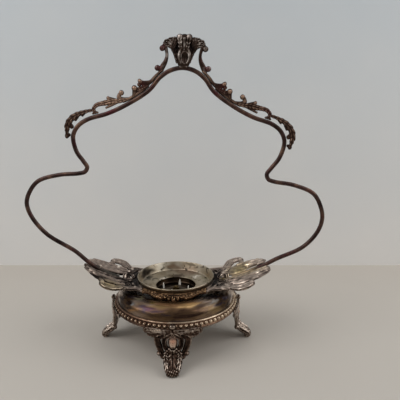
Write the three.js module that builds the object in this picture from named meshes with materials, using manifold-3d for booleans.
// A silver-plated stand for a glass bowl: a footed base, a bowl holder with pierced wings and a tall fixed handle.
// Millimetres, +Z up. The origin lies on the table under the middle of the base, and -Y is the front.
import * as THREE from 'three';
import { mergeVertices } from 'three/addons/utils/BufferGeometryUtils.js';
import Module from 'manifold-3d';

// Clearance kept between two pieces that are soldered or seated on each other
const seatGap = 0.3;

// Spun base shell
const baseRadius = 62.8;
const baseWall = 0.9;
const skirtBottom = 38;
const shoulderBottom = 51;
const crownRadius = 52;
const crownHeight = 60.6;
const sinkRadius = 24;
const sinkHeight = 53;

// Cast border with its row of beads, soldered round the edge of the base
const borderTop = 48.7;
const borderBottom = 41.6;
const borderWidth = 3.6;
const beadCount = 78;
const beadRelief = 1.4;

// Four cast legs
const footRadius = 79.5;
const footBarrel = 9.4;
const footWidth = 8;
const kneeRadius = 67.4;
const legTop = 50.6;
const legArmReach = 16;
const legLeafReach = 30;
const maskHalfWidth = 4.6;
const maskHalfHeight = 7.5;

// Bowl holder: a shallow cup with a hole in its floor
const cupRimRadius = 41;
const cupRimHeight = 72.8;
const cupDepth = 9;
const cupStepRadius = 37;
const cupHoleRadius = 21.7;
const cupFloorFall = 2.6;
const cupLedge = 3;
const cupWall = 0.9;

// Round foot pan between the cup and the base, and the tie bolt through both
const panWall = 0.8;
const panRimRadius = 28;
const boltRadius = 2;
const boltClearance = 0.5;
const nutHeight = 3;
const nutRadius = 4;
const washerRadius = 8;
const washerHeight = 0.8;
const prongCount = 4;
const prongTurn = 0.26;
const prongCircle = 14.2;
const prongHeight = 6.9;
const prongWidth = 2.2;

// Pierced castings round the cup
const trayHeight = 67.3;
const castThickness = 3.2;
const seamHalfWidth = 33;
const wingSpan = 97;
const wingBackDepthLeft = 43.5;
const wingBackDepthRight = 48;
const wingFrontDepthLeft = 40;
const wingFrontDepthRight = 43.5;
const wingFlatSpan = 45;
const wingTipRise = 17.5;

// Handle rod, bent in one plane and soldered along the middle of each wing
const rodRadius = 2.3;
const rodEnd = 62;
const bulgeHalfWidth = 156.5;
const bulgeHeight = 144;
const neckHalfWidth = 93.4;
const neckHeight = 187.3;
const shoulderHalfWidth = 108.2;
const shoulderHeight = 217;
const handleTop = 290.5;

// The handle has been pushed over to the right: what it moves for each millimetre of height, and how it tilts
const pushedStart = 146;
const pushedSlope = 0.066;
const tiltLow = 0.052;
const tiltHigh = 0.026;

const wasm = await Module();
wasm.setup();

// Materials as the photograph shows them
function metal(color, roughness, metalness = 0.9) {
  return new THREE.MeshStandardMaterial({ color, roughness, metalness });
}

const wornSilver = () => metal('#8f887b', 0.42);
const darkSilver = () => metal('#6d655a', 0.45);
const brownedRod = () => metal('#4b372c', 0.35);
const heatedShell = () => metal('#5a4740', 0.22);
const fixingBrass = () => metal('#8a6a3c', 0.4);

// Closed three.js geometry to a solid with its faces pointing out
function solid(geometry) {
  const bare = geometry.clone();
  bare.deleteAttribute('normal');
  bare.deleteAttribute('uv');
  const merged = mergeVertices(bare, 1e-4);
  const vertProperties = new Float32Array(merged.attributes.position.array);
  const corner = new THREE.Vector3();
  const [a, b, c] = [new THREE.Vector3(), new THREE.Vector3(), new THREE.Vector3()];
  const faces = [];
  let volume = 0;
  for (let i = 0; i < merged.index.count; i += 3) {
    const face = [0, 1, 2].map((k) => merged.index.getX(i + k));
    if (new Set(face).size < 3) continue;
    [a, b, c].forEach((point, k) => point.fromArray(vertProperties, 3 * face[k]));
    volume += a.dot(corner.crossVectors(b, c));
    faces.push(face);
  }
  const outward = volume > 0 ? faces : faces.map(([p, q, r]) => [p, r, q]);
  const triVerts = new Uint32Array(outward.flat());
  return new wasm.Manifold(new wasm.Mesh({ numProp: 3, vertProperties, triVerts }));
}

function join(pieces) {
  return pieces.reduce((whole, piece) => whole.add(piece));
}

function geometryOf(body) {
  const { vertProperties, triVerts } = body.getMesh();
  const geometry = new THREE.BufferGeometry();
  geometry.setAttribute('position', new THREE.BufferAttribute(vertProperties, 3));
  geometry.setIndex(new THREE.BufferAttribute(triVerts, 1));
  geometry.computeVertexNormals();
  return geometry;
}

// A turned piece from a closed profile of [radius, height] points, given in either direction
function turned(profile, segments) {
  const points = profile.map(([radius, height]) => new THREE.Vector2(radius, height));
  const outline = THREE.ShapeUtils.isClockWise(points) ? points.reverse() : points;
  return new THREE.LatheGeometry([...outline, outline[0]], segments).rotateX(Math.PI / 2);
}

// A turned sheet piece: one face of the sheet is given, and the other lies one wall away on its right-hand side
function turnedSheet(face, wall, segments) {
  const points = face.map(([radius, height]) => new THREE.Vector2(radius, height));
  const back = points.map((point, i) => {
    const before = points[Math.max(i - 1, 0)];
    const after = points[Math.min(i + 1, points.length - 1)];
    const along = after.clone().sub(before).normalize();
    return [point.x + wall * along.y, point.y - wall * along.x];
  });
  return turned([...face, ...back.reverse()], segments);
}

// Points of a round corner from one angle to another
function roundCorner(centre, radii, from, to, steps) {
  return Array.from({ length: steps + 1 }, (_, i) => {
    const angle = from + ((to - from) * i) / steps;
    return [centre[0] + radii[0] * Math.cos(angle), centre[1] + radii[1] * Math.sin(angle)];
  });
}

// Smooth curve of one value over another through a few known pairs
function smoothThrough(pairs) {
  const slope = pairs.map((pair, i) => {
    const before = pairs[Math.max(i - 1, 0)];
    const after = pairs[Math.min(i + 1, pairs.length - 1)];
    return (after[1] - before[1]) / (after[0] - before[0]);
  });
  return (at) => {
    const next = pairs.findIndex((pair, i) => i > 0 && at <= pair[0]);
    const i = next < 0 ? pairs.length - 1 : next;
    const [x0, y0] = pairs[i - 1];
    const [x1, y1] = pairs[i];
    const step = x1 - x0;
    const t = THREE.MathUtils.clamp((at - x0) / step, 0, 1);
    const rise = (2 * t ** 3 - 3 * t ** 2 + 1) * y0 + (3 * t ** 2 - 2 * t ** 3) * y1;
    return rise + step * ((t ** 3 - 2 * t ** 2 + t) * slope[i - 1] + (t ** 3 - t ** 2) * slope[i]);
  };
}

// Direction that a surface faces at one place
function facing(surface, u, v) {
  const reach = 0.5;
  const alongU = surface(u + reach, v).sub(surface(u - reach, v));
  const alongV = surface(u, v + reach).sub(surface(u, v - reach));
  return alongU.cross(alongV).normalize();
}

// A bar with an oval section that follows a surface. Each knot is [u, v, width].
function bar(surface, knots, thickness, sides, steps) {
  const path = new THREE.CatmullRomCurve3(knots.map((knot) => new THREE.Vector3(...knot)));
  const rows = path.getPoints(steps);
  const centres = rows.map((row) => surface(row.x, row.y));
  const last = rows.length - 1;
  const positions = [];
  rows.forEach((row, i) => {
    const centre = centres[i];
    const along = centres[Math.min(i + 1, last)].clone().sub(centres[Math.max(i - 1, 0)]).normalize();
    const up = facing(surface, row.x, row.y);
    const across = new THREE.Vector3().crossVectors(up, along).normalize();
    const half = row.z / 2;
    const rise = Math.min(thickness, row.z) / 2;
    const tip = (way) => centre.clone().addScaledVector(along, way * half * 0.7).toArray();
    if (i === 0) positions.push(tip(-1));
    for (let k = 0; k < sides; k += 1) {
      const angle = (2 * Math.PI * k) / sides;
      const point = centre.clone().addScaledVector(across, half * Math.cos(angle));
      positions.push(point.addScaledVector(up, rise * Math.sin(angle)).toArray());
    }
    if (i === last) positions.push(tip(1));
  });
  const index = [];
  const ring = (row, k) => 1 + row * sides + (k % sides);
  for (let k = 0; k < sides; k += 1) {
    index.push(0, ring(0, k + 1), ring(0, k));
    for (let row = 0; row < last; row += 1) {
      index.push(ring(row, k), ring(row, k + 1), ring(row + 1, k + 1));
      index.push(ring(row, k), ring(row + 1, k + 1), ring(row + 1, k));
    }
    index.push(positions.length - 1, ring(last, k), ring(last, k + 1));
  }
  const geometry = new THREE.BufferGeometry();
  geometry.setAttribute('position', new THREE.BufferAttribute(new Float32Array(positions.flat()), 3));
  geometry.setIndex(index);
  return geometry;
}

// A cast arm of a leaf or scroll
function arm(surface, knots, thickness, sides = 4) {
  return solid(bar(surface, knots, thickness, sides, knots.length));
}

function ball(surface, u, v, radius) {
  const { x, y, z } = surface(u, v);
  return solid(new THREE.SphereGeometry(radius, 6, 4).translate(x, y, z));
}

// The same arm or ball on the left and on the right of a surface's middle line
function bothSides(make) {
  return [1, -1].flatMap((side) => make(side));
}

// Base shell: a drum with a round shoulder and a sunk middle
function baseShellFace() {
  const shoulder = roundCorner(
    [crownRadius, shoulderBottom],
    [baseRadius - crownRadius, crownHeight - shoulderBottom],
    0,
    Math.PI / 2,
    3,
  );
  const middle = (sinkRadius + crownRadius) / 2;
  return [
    [baseRadius, skirtBottom],
    ...shoulder,
    [middle, crownHeight - 2.2],
    [sinkRadius, sinkHeight],
    [boltRadius + boltClearance, sinkHeight],
  ];
}

function baseShell() {
  return turnedSheet(baseShellFace(), -baseWall, 32);
}

// Border ring: flat inside, with a sloping outer face that swells into a bead at every second column
const borderInner = baseRadius + seatGap;
const borderOuter = borderInner + borderWidth;
const beadHeight = (borderTop + borderBottom) / 2 + 0.6;
const beadReach = borderOuter + beadRelief / 3;

function borderRing() {
  const columns = 2 * beadCount;
  const positions = [];
  for (let column = 0; column < columns; column += 1) {
    const angle = (2 * Math.PI * column) / columns;
    const isBead = column % 2 === 0;
    const profile = [
      [borderInner, borderBottom],
      [borderOuter - 0.4, borderBottom],
      [isBead ? beadReach : beadReach - beadRelief, beadHeight],
      [borderInner + 1.3, borderTop],
      [borderInner, borderTop],
    ];
    profile.forEach(([radius, height]) => {
      positions.push(radius * Math.cos(angle), radius * Math.sin(angle), height);
    });
  }
  const index = [];
  const rows = 5;
  for (let column = 0; column < columns; column += 1) {
    const next = (column + 1) % columns;
    for (let row = 0; row < rows; row += 1) {
      const above = (row + 1) % rows;
      const [p, q] = [column * rows + row, next * rows + row];
      const [r, t] = [next * rows + above, column * rows + above];
      if (column % 2 === 0) index.push(p, q, t, q, r, t);
      else index.push(p, q, r, p, r, t);
    }
  }
  const geometry = new THREE.BufferGeometry();
  geometry.setAttribute('position', new THREE.BufferAttribute(new Float32Array(positions), 3));
  geometry.setIndex(index);
  geometry.computeVertexNormals();
  return geometry;
}

// Legs: every stroke is laid on the curved sheet that the leg was modelled from
const legLeafThickness = 1.8;
const legUpperRadius = beadReach + seatGap + legLeafThickness / 2;
const legRadiusAt = smoothThrough([
  [-2, footRadius + 1],
  [4.1, footRadius],
  [6.5, footRadius - 1.6],
  [9, footRadius - 4.3],
  [13, (footRadius + kneeRadius) / 2 - 2],
  [18, kneeRadius + 1],
  [23, kneeRadius],
  [34, kneeRadius],
  [borderBottom - 2, legUpperRadius],
  [borderTop - 1.5, legUpperRadius],
  [legTop, borderOuter + 1.4],
]);

function legSurface(across, height) {
  const radius = legRadiusAt(height);
  return new THREE.Vector3(across, -Math.sqrt(radius ** 2 - across ** 2), height);
}

function legCasting() {
  const place = legSurface;
  const barrelHeight = footBarrel / 2 - 0.9;
  const mask = new THREE.SphereGeometry(1, 8, 6).rotateX(Math.PI / 2);
  mask.scale(maskHalfWidth, 3, maskHalfHeight).translate(0, -kneeRadius - 0.4, 29);
  const middle = [
    arm(place, [[0, 25, 13], [0, 18, 19], [0, 11, 18.4], [0, 6, 15.6], [0, 4.6, 13]], 5.5, 6),
    arm(place, [[-footWidth / 2, barrelHeight, 6.6], [0, barrelHeight, footBarrel],
      [footWidth / 2, barrelHeight, 6.6]], footBarrel, 8),
    arm(place, [[0, 36, 8], [0, 42, 8.5], [0, legTop, 3.5]], legLeafThickness),
    solid(mask),
  ];
  const sides = bothSides((side) => [
    arm(place, [[side * 9, 37.5, 5], [side * legArmReach, 33, 5.5], [side * (legArmReach - 2), 24, 5],
      [side * 10, 14.6, 5]], 4.4),
    ball(place, side * (legArmReach - 3), 16.6, 2.4),
    arm(place, [[side * 1, 38.5, 6], [side * 8, 33, 4.2], [side * 7, 23.5, 3.8], [side * 1, 20.5, 5]], 4.2),
    arm(place, [[0, 39.2, 7], [side * 12, 38, 8.8], [side * (legLeafReach - 9), 39.4, 9],
      [side * (legLeafReach - 3), 41, 7.6]], legLeafThickness),
  ]);
  const floor = solid(new THREE.BoxGeometry(60, 60, 20).translate(0, -footRadius, -10));
  return geometryOf(join([...middle, ...sides]).subtract(floor));
}

// Cup: thin wall leaning in to a step, a flat ledge for the bowl and a floor that falls to the hole
const ledgeHeight = cupRimHeight - cupDepth;
const ledgeInner = cupStepRadius - cupLedge;
const holeHeight = ledgeHeight - cupFloorFall;

function cupUndersideAt(radius) {
  const t = (radius - cupHoleRadius) / (ledgeInner - cupHoleRadius);
  return THREE.MathUtils.lerp(holeHeight, ledgeHeight, THREE.MathUtils.clamp(t, 0, 1)) - cupWall;
}

function cupShell() {
  const face = [
    [cupHoleRadius, holeHeight],
    [ledgeInner, ledgeHeight],
    [cupStepRadius, ledgeHeight],
    [cupRimRadius - 0.3, cupRimHeight - 0.6],
    [cupRimRadius, cupRimHeight],
  ];
  return turnedSheet(face, cupWall, 36);
}

// Outer radius of the cup's wall where the pierced castings meet it
const wallLean = (cupRimRadius - cupStepRadius) / cupDepth;
const cupSeatRadius = cupStepRadius + wallLean * (trayHeight - ledgeHeight) + 1.1 * cupWall + seatGap;

// Foot pan: stands in the sunk middle of the base and carries the cup on its rim
const panFloor = sinkHeight + seatGap + panWall;

function footPan() {
  const wallRadius = cupHoleRadius + 1.6;
  const under = (radius) => cupUndersideAt(radius) - seatGap;
  const face = [
    [boltRadius + boltClearance, panFloor],
    [wallRadius - 2.2, panFloor],
    [wallRadius - 0.4, panFloor + 1.4],
    [wallRadius, under(wallRadius) - 1.2],
    [wallRadius + 1.2, under(wallRadius + 1.2)],
    [panRimRadius, under(panRimRadius)],
  ];
  return turnedSheet(face, panWall, 20);
}

// Flat ring, used for the washers
function flatRing(inner, outer, bottom, height) {
  const profile = [[inner, bottom], [outer, bottom], [outer, bottom + height], [inner, bottom + height]];
  return turned(profile, 16);
}

const crownBottom = panFloor + seatGap;
const topNutBottom = crownBottom + washerHeight + seatGap;
const baseWasherTop = sinkHeight - baseWall - seatGap;
const baseNutTop = baseWasherTop - washerHeight - seatGap;

// Crown of upright prongs that steadies the foot of the bowl
function prongCrown() {
  const washer = flatRing(boltRadius + boltClearance, prongCircle + 1, crownBottom, washerHeight);
  const prongs = Array.from({ length: prongCount }, (_, i) => {
    const prong = new THREE.BoxGeometry(1, prongWidth, prongHeight);
    prong.translate(prongCircle, 0, crownBottom + prongHeight / 2 + 0.2);
    return solid(prong.rotateZ((2 * Math.PI * i) / prongCount - prongTurn));
  });
  return geometryOf(join([solid(washer), ...prongs]));
}

function hexNut(bottom) {
  const body = new THREE.CylinderGeometry(nutRadius, nutRadius, nutHeight, 6);
  const bore = new THREE.CylinderGeometry(boltRadius + seatGap, boltRadius + seatGap, 2 * nutHeight, 16);
  const turnedUp = solid(body).subtract(solid(bore));
  return geometryOf(turnedUp).rotateX(Math.PI / 2).translate(0, 0, bottom + nutHeight / 2);
}

function tieBolt() {
  const bottom = baseNutTop - nutHeight - 1.5;
  const top = topNutBottom + nutHeight + 1;
  const chamfer = 0.4;
  return new THREE.LatheGeometry(
    [
      new THREE.Vector2(0, bottom),
      new THREE.Vector2(boltRadius - chamfer, bottom),
      new THREE.Vector2(boltRadius, bottom + chamfer),
      new THREE.Vector2(boltRadius, top - chamfer),
      new THREE.Vector2(boltRadius - chamfer, top),
      new THREE.Vector2(0, top),
    ],
    16,
  ).rotateX(Math.PI / 2);
}

// Height of the pierced castings: level round the cup, then rising to the wing tips
function trayRise(across) {
  const out = Math.max(0, (Math.abs(across) - wingFlatSpan) / (wingSpan + 3 - wingFlatSpan));
  return trayHeight + wingTipRise * out ** 1.3;
}

// Each level of the handle is tilted a little too, less where it is held by the wings
const tiltAt = smoothThrough([
  [70, 0],
  [78, 0.12 * tiltLow],
  [86, 0.5 * tiltLow],
  [98, 0.9 * tiltLow],
  [110, tiltLow],
  [bulgeHeight + 8, tiltLow],
  [shoulderHeight + 15, tiltHigh],
  [handleTop + 60, tiltHigh],
]);

// The rod lies on the middle rib of each wing, at the bottom of a trough between the leaves
const ribThickness = castThickness + 0.8;
const rodLie = ribThickness / 2 + 1.3 * seatGap + rodRadius;
const rodOnWing = smoothThrough([
  [rodEnd - 11, trayHeight - 1],
  [rodEnd, trayHeight + 2.1],
  [wingSpan - 24, trayHeight + 6.1],
  [wingSpan - 14, trayHeight + 10.9],
  [wingSpan - 2, trayHeight + 17.9],
  [wingSpan + 8, trayHeight + 24.6],
]);

function wingSurface(side) {
  const rodAt = (across) => rodOnWing(across) - side * across * tiltAt(rodOnWing(across));
  const steepness = (across) => rodAt(across + 0.5) - rodAt(across - 0.5);
  const depthAt = smoothThrough([
    [cupRimRadius, 1.4],
    [rodEnd - 14, 3],
    ...[rodEnd, wingSpan - 24, wingSpan - 14, wingSpan - 2, wingSpan + 4].map((across) => [
      across,
      trayRise(across) + rodLie * Math.hypot(1, steepness(across)) - rodAt(across),
    ]),
  ]);
  return (u, v) => {
    const nearMiddle = Math.max(0, 1 - (v / 7.5) ** 2) ** 2;
    return new THREE.Vector3(side * u, v, trayRise(u) - depthAt(u) * nearMiddle);
  };
}

// Handle rod: the outline of one half, from the top to the bulge and down to the wing
function rodOutline() {
  const arch = (widthShare, dropShare) => [
    widthShare * shoulderHalfWidth,
    handleTop - dropShare * (handleTop - shoulderHeight),
  ];
  return [
    arch(0, 0),
    arch(0.1155, 0.0395),
    arch(0.208, 0.1361),
    arch(0.3004, 0.3034),
    arch(0.4917, 0.4939),
    arch(0.6793, 0.6299),
    arch(0.8688, 0.7211),
    arch(0.9575, 0.8177),
    arch(1, 0.9592),
    [shoulderHalfWidth - 3.6, shoulderHeight - 13],
    [neckHalfWidth + 4, neckHeight + 6.4],
    [neckHalfWidth, neckHeight],
    [neckHalfWidth + 2.2, neckHeight - 5],
    [neckHalfWidth + 8.6, neckHeight - 7.1],
    [bulgeHalfWidth - 33.7, bulgeHeight + 33.5],
    [bulgeHalfWidth - 12.3, bulgeHeight + 25.7],
    [bulgeHalfWidth - 3, bulgeHeight + 12.6],
    [bulgeHalfWidth, bulgeHeight],
    [bulgeHalfWidth - 4.2, bulgeHeight - 14.5],
    [bulgeHalfWidth - 19, bulgeHeight - 32.5],
    [bulgeHalfWidth - 48, bulgeHeight - 49],
    ...[wingSpan - 2, wingSpan - 14, wingSpan - 24, rodEnd].map((x) => [x, rodOnWing(x)]),
  ];
}

// The push to the right is a shift that grows with height
function pushed(across, height) {
  const shift = pushedSlope * Math.max(0, height - pushedStart);
  return new THREE.Vector3(across + shift, 0, height - across * tiltAt(height));
}

function rodKnots() {
  const half = rodOutline();
  return [...half.slice(1).reverse().map(([x, z]) => [-x, z, 2 * rodRadius]),
    ...half.map(([x, z]) => [x, z, 2 * rodRadius])];
}

function handleRod() {
  const knots = rodKnots();
  return bar(pushed, knots, 2 * rodRadius, 8, Math.round(1.3 * (knots.length - 1)));
}

// Wings: pierced leaf castings, one at each side of the cup. The two have been bent and trimmed differently.
const hubWidth = 8;
const hubStep = 0.37;
const hubRadius = (cupSeatRadius + hubWidth / 2) / Math.cos(hubStep / 2);
const leafRoot = hubRadius - 1;
const leafMiddle = wingSpan - 22;

function hubArc(angles, radius, width) {
  return angles.map((angle) => [radius * Math.cos(angle), radius * Math.sin(angle), width]);
}

// The large leaf behind the rod and the one in front of it
const wingLeaves = {
  left: [
    [[leafRoot, 14, 12], [leafMiddle - 14, 14, 17], [leafMiddle, 14.6, 20], [wingSpan - 9, 13.6, 17],
      [wingSpan - 3, 12, 11]],
    [[leafRoot, -14, 12], [leafMiddle - 14, -15, 20], [leafMiddle, -14.4, 22.5], [wingSpan - 9, -9.7, 13],
      [wingSpan - 2, -7, 6]],
  ],
  right: [
    [[leafRoot, 14, 12], [leafMiddle - 14, 15, 20], [leafMiddle, 17, 25], [wingSpan - 9, 15.4, 20],
      [wingSpan - 3, 12.5, 12]],
    [[leafRoot, -14, 12], [leafMiddle - 14, -17, 22], [leafMiddle, -17.6, 25], [wingSpan - 8, -16, 22],
      [wingSpan - 2, -13.6, 16]],
  ],
};

// A smaller leaf beside them, that runs along the edge of the casting and curls up in a knob
function wingCurl(place, way, edge, outward) {
  const top = edge - 6.5;
  return [
    arm(place, [[36, way * 27, 8], [47, way * 26, 10], [57 + outward / 2, way * 29.5, 11],
      [63.5 + outward, way * top, 13], [70 + outward, way * top, 12.5], [74.5 + outward, way * (top - 4), 7]],
    castThickness),
    ball(place, 74.5 + outward, way * (top - 3), 3),
    arm(place, [[74 + outward, way * (top - 4), 6], [75 + outward, way * 27, 7], [80, way * 18, 6]], castThickness),
  ];
}

function wingCasting(side) {
  const place = wingSurface(side);
  const leaves = side > 0 ? wingLeaves.right : wingLeaves.left;
  const backDepth = side > 0 ? wingBackDepthRight : wingBackDepthLeft;
  const frontDepth = side > 0 ? wingFrontDepthRight : wingFrontDepthLeft;
  const strokes = [
    arm(place, hubArc([-2, -1, 0, 1, 2].map((i) => i * hubStep), hubRadius, hubWidth), castThickness),
    solid(bar(place, [[hubRadius, 0, 8], [wingSpan - 32, 0, 8], [wingSpan - 16, 0, 8], [wingSpan, 0, 5]],
      ribThickness, 4, 9)),
    arm(place, [[49, -24, 8], [54, 0, 6], [49, 24, 8]], castThickness),
    ...[70, 87].map((u) => arm(place, [[u, -8, 4.4], [u, 0, 4.4], [u, 8, 4.4]], castThickness - 1)),
    ...leaves.map((leaf) => arm(place, leaf, castThickness)),
    ...wingCurl(place, 1, backDepth, 0),
    ...wingCurl(place, -1, frontDepth, side > 0 ? 5 : 0),
  ];
  const seam = solid(new THREE.BoxGeometry(2 * seamHalfWidth + seatGap, 200, 60).translate(0, 0, trayHeight));
  return geometryOf(join(strokes).subtract(seam));
}

// Galleries: the narrow borders that close the tray in front of the cup and behind it
function galleryCasting(way) {
  const place = (u, v) => {
    const overhang = Math.max(0, Math.hypot(u, v) - cupRimRadius - 4);
    return new THREE.Vector3(u, way * v, trayHeight - 0.09 * overhang ** 2);
  };
  const bandWidth = 5.4;
  const step = 0.3;
  const band = (cupSeatRadius + bandWidth / 2) / Math.cos(step / 2);
  const angles = [-3, -2, -1, 0, 1, 2, 3].map((i) => Math.PI / 2 + i * step);
  const strokes = [
    arm(place, hubArc(angles, band, bandWidth), castThickness - 0.6),
    arm(place, [[0, band + 1, 8], [0, band + 4.5, 8], [0, band + 8.6, 5]], castThickness + 0.8),
  ];
  const sides = bothSides((side) => [
    arm(place, [[side * 3, band + 2, 6], [side * 10, band + 6, 5]], castThickness),
    arm(place, [[side * 6, band + 1, 5], [side * 15.5, band + 1.4, 4]], castThickness),
    arm(place, [[side * 24, band - 6, 4], [side * 37, 29, 8]], castThickness - 0.4),
  ]);
  const keep = solid(new THREE.BoxGeometry(2 * seamHalfWidth - seatGap, 200, 60).translate(0, 0, trayHeight));
  return geometryOf(join([...strokes, ...sides]).intersect(keep));
}

// Crest: an open leaf vase that stands on the top of the rod, with an S-shaped stem at each side
function crestCasting() {
  const place = (u, v) => pushed(u, handleTop + v);
  const seat = rodRadius + seatGap;
  const middle = [
    arm(place, [[0, seat + 3.3, 9], [0, 15, 12], [0, 29, 9]], 5.5, 6),
  ];
  const sides = bothSides((side) => [
    arm(place, [[side * 3, seat + 1.6, 4.4], [side * 4.8, 12, 6.4], [side * 4.6, 29.4, 8]], 6.4),
    arm(place, [[side * 5, seat + 1.4, 4.4], [side * 8.4, 13, 5], [side * 8.6, 25.5, 6]], 4.6),
    arm(place, [[side * 7, 13, 4], [side * 13, 22.4, 8], [side * 17, 23.5, 6.4]], 4),
    arm(place, [[side * 13, 21.5, 6], [side * 19.6, 21.2, 5], [side * 21, 18.6, 4]], 3.6),
    ball(place, side * 21.2, 18.2, 2.8),
    arm(place, [[side * 18.6, 20, 3.4], [side * 16.2, 9, 2.8], [side * 20.6, 0, 3.4],
      [side * 23.2, -4.5, 3.4]], 3),
    arm(place, [[side * 19.8, 1, 3.4], [side * 25, -0.6, 3]], 3),
    ball(place, side * 25.2, -0.6, 2.8),
  ]);
  const hollow = new THREE.SphereGeometry(1, 8, 6).scale(3.2, 2.2, 5);
  const bowl = place(0, 10);
  const front = solid(hollow.translate(bowl.x, -3.6, bowl.z));
  return geometryOf(join([...middle, ...sides]).subtract(front));
}

// Garlands: leaf scrolls that grow along the outside of the rod, measured from its top and off its axis. They
// are drawn for an arch of the length named here, and spread or close up with the rod's own arch.
const rodCurve = new THREE.CatmullRomCurve3(rodKnots().map(([u, v]) => pushed(u, v)));
const rodLengths = rodCurve.getLengths(400);
const rodLength = rodLengths[400];
const rodTopLength = rodLengths[200];
const archKnots = rodOutline().slice(0, 9);
const archLength = archKnots.slice(1).reduce((length, [x, z], i) => {
  const [beforeX, beforeZ] = archKnots[i];
  return length + Math.hypot(x - beforeX, z - beforeZ);
}, 0);
const garlandSpread = archLength / 133.4;

function alongRod(side) {
  return (distance, off) => {
    const onRod = rodTopLength + side * distance * garlandSpread;
    const at = THREE.MathUtils.clamp(onRod / rodLength, 0, 1);
    const along = rodCurve.getTangentAt(at);
    const point = rodCurve.getPointAt(at);
    return point.add(new THREE.Vector3(-along.z, 0, along.x).multiplyScalar(off));
  };
}

function garlandCasting(side) {
  const place = alongRod(side);
  const stemWidth = 3;
  const low = rodRadius + 2 * seatGap + stemWidth / 2;
  const stem = [
    arm(place, [[28, low, 3], [35, low, 3.2], [41, 6.8, 3.6], [44, 12, 3]], 3),
    ball(place, 44, 13, 2.6),
    arm(place, [[37, low + 0.4, 3.4], [47, 5.6, 5], [53.6, 9.6, 3]], 3),
    ball(place, 54, 10.6, 2.8),
    arm(place, [[42, low, 3], [54, low, 3], [66, low, 3], [74, low + 1.4, 3.4]], 3),
    arm(place, [[63, low + 0.3, 3.2], [69, 6.4, 4.2], [68.2, 12, 3]], 3),
    ball(place, 68, 13.6, 2.4),
  ];
  const leaf = [
    arm(place, [[70, low + 0.4, 3.4], [80, 8.2, 5], [90, 11, 5.6], [99, 10.9, 4.8], [103.6, 7.4, 3.8],
      [103.4, low, 3]], 3.6),
    arm(place, [[78, 8.6, 3.4], [83.4, 14, 2.8]], 3),
    arm(place, [[76, 6.8, 3.4], [87.6, 5.8, 2.4]], 3),
  ];
  const shoulder = [
    arm(place, [[103.4, 6.4, 3.6], [111, 8.8, 4.6], [120, 10.2, 5.8], [128, 10.8, 6], [135, 7.2, 4]], 4),
    arm(place, [[121, 9.6, 4.2], [119.6, 6.4, 3]], 3),
    arm(place, [[128, 9.6, 4.6], [126.6, 5.2, 3]], 3),
    arm(place, [[136, 6.8, 3.4], [134.2, low, 3]], 3),
    ball(place, 136, 6.6, 2.6),
  ];
  return geometryOf(join([...stem, ...leaf, ...shoulder]));
}

// Assembly, from the table up
const stand = new THREE.Group();

function add(name, geometry, material, turn = 0) {
  const mesh = new THREE.Mesh(geometry, material);
  mesh.name = name;
  mesh.rotation.z = turn;
  stand.add(mesh);
}

['leg_front', 'leg_right', 'leg_back', 'leg_left'].forEach((name, i) => {
  add(name, legCasting(), wornSilver(), (i * Math.PI) / 2);
});
add('base_shell', baseShell(), heatedShell());
add('base_border', borderRing(), darkSilver());
add('foot_pan', footPan(), darkSilver());
add('bowl_cup', cupShell(), wornSilver());
add('prong_crown', prongCrown(), wornSilver());
add('tie_bolt', tieBolt(), fixingBrass());
add('top_nut', hexNut(topNutBottom), fixingBrass());
add('base_washer', flatRing(boltRadius + boltClearance, washerRadius, baseWasherTop - washerHeight, washerHeight),
  fixingBrass());
add('base_nut', hexNut(baseNutTop - nutHeight), fixingBrass());
add('wing_left', wingCasting(-1), wornSilver());
add('wing_right', wingCasting(1), wornSilver());
add('gallery_front', galleryCasting(-1), darkSilver());
add('gallery_back', galleryCasting(1), darkSilver());
add('handle_rod', handleRod(), brownedRod());
add('crest', crestCasting(), brownedRod());
add('garland_left', garlandCasting(-1), brownedRod());
add('garland_right', garlandCasting(1), brownedRod());

export default stand;
